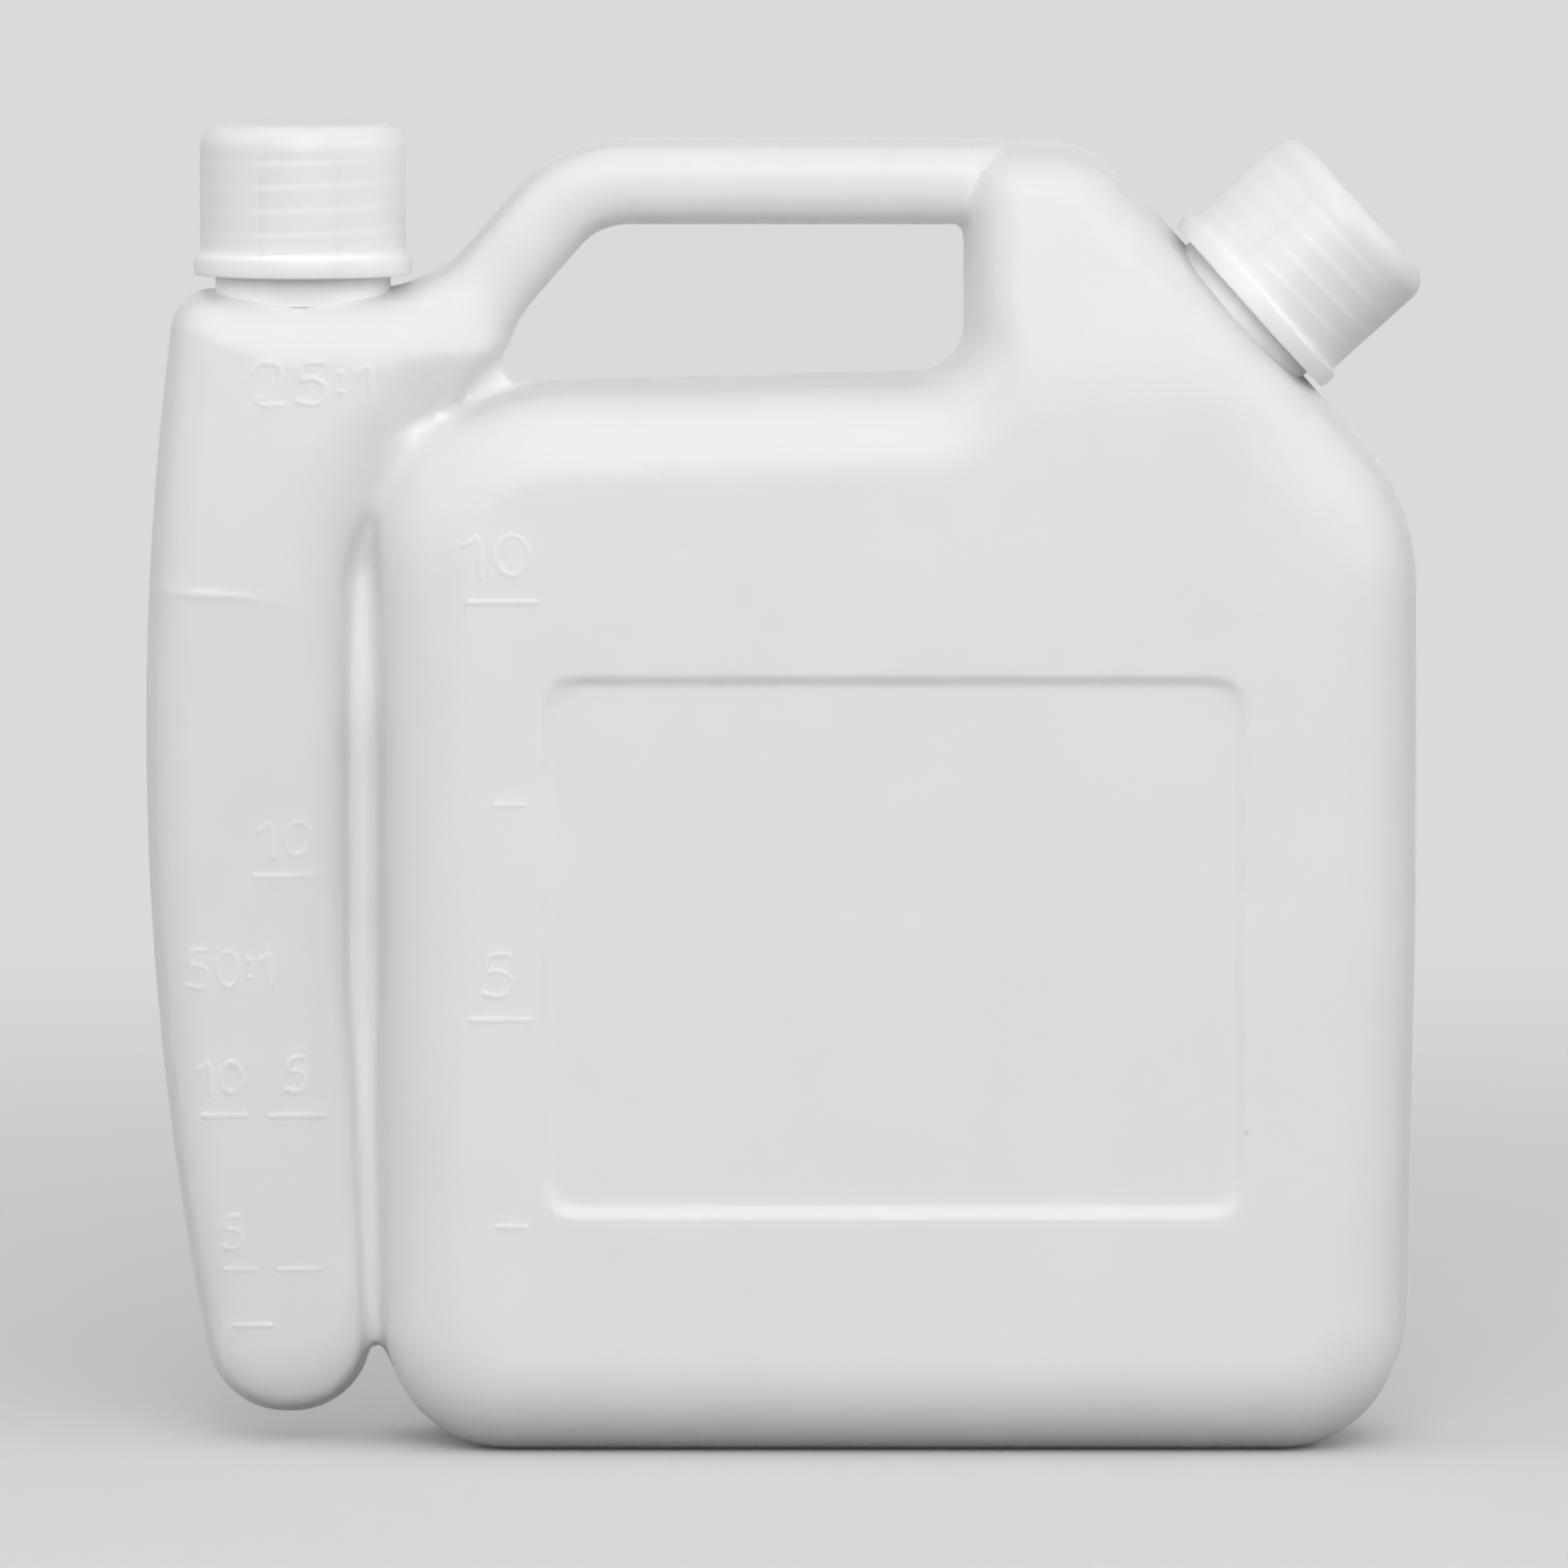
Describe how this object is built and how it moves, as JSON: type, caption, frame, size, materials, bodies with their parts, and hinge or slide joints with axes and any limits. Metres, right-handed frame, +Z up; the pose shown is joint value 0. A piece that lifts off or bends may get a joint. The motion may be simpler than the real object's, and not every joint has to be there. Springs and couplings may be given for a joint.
{
  "type": "fuel mixing bottle",
  "caption": "Flat blown bottle with a wide fuel tank, a slim side chamber for oil, a hollow carry handle between them and a screw cap on each neck",
  "frame": {"origin": "on the surface that the bottle stands on, midway along its length and depth", "axes": "+X from the oil chamber to the fuel tank, +Y from the front to the back, +Z up"},
  "size_m": [0.2051, 0.05, 0.2132],
  "materials": {
    "shell_plastic": "milky natural polyethylene, softly glossy, lets some light through",
    "cap_plastic": "natural moulded polyethylene, smooth, lets some light through",
    "liner_foam": "white foamed polyethylene disc"
  },
  "bodies": {
    "bottle": {"bottle": "shell_plastic"},
    "oil_cap_liner": {"oil_cap_liner": "liner_foam"},
    "oil_cap": {"oil_cap": "cap_plastic"},
    "fuel_cap_liner": {"fuel_cap_liner": "liner_foam"},
    "fuel_cap": {"fuel_cap": "cap_plastic"}
  },
  "joints": [
    {"name": "oil_cap_lift", "type": "slide", "parent": "bottle", "child": "oil_cap_liner", "axis": [0, 0, 1], "range_m": [0, 0.0262]},
    {"name": "oil_cap_turn", "type": "hinge", "parent": "oil_cap_liner", "child": "oil_cap", "pos_m": [-0.0774, 0, 0.1888], "axis": [0, 0, 1], "range_deg": [0, 2430]},
    {"name": "fuel_cap_lift", "type": "slide", "parent": "bottle", "child": "fuel_cap_liner", "axis": [0.7431, 0, 0.6691], "range_m": [0, 0.0262]},
    {"name": "fuel_cap_turn", "type": "hinge", "parent": "fuel_cap_liner", "child": "fuel_cap", "pos_m": [0.07409, 0, 0.18285], "axis": [0.7431, 0, 0.6691], "range_deg": [0, 2430]}
  ],
  "couplings": [
    {"joint": "oil_cap_lift", "follows": "oil_cap_turn", "m_per_rad": 0.00061275},
    {"joint": "fuel_cap_lift", "follows": "fuel_cap_turn", "m_per_rad": 0.00061275}
  ]
}
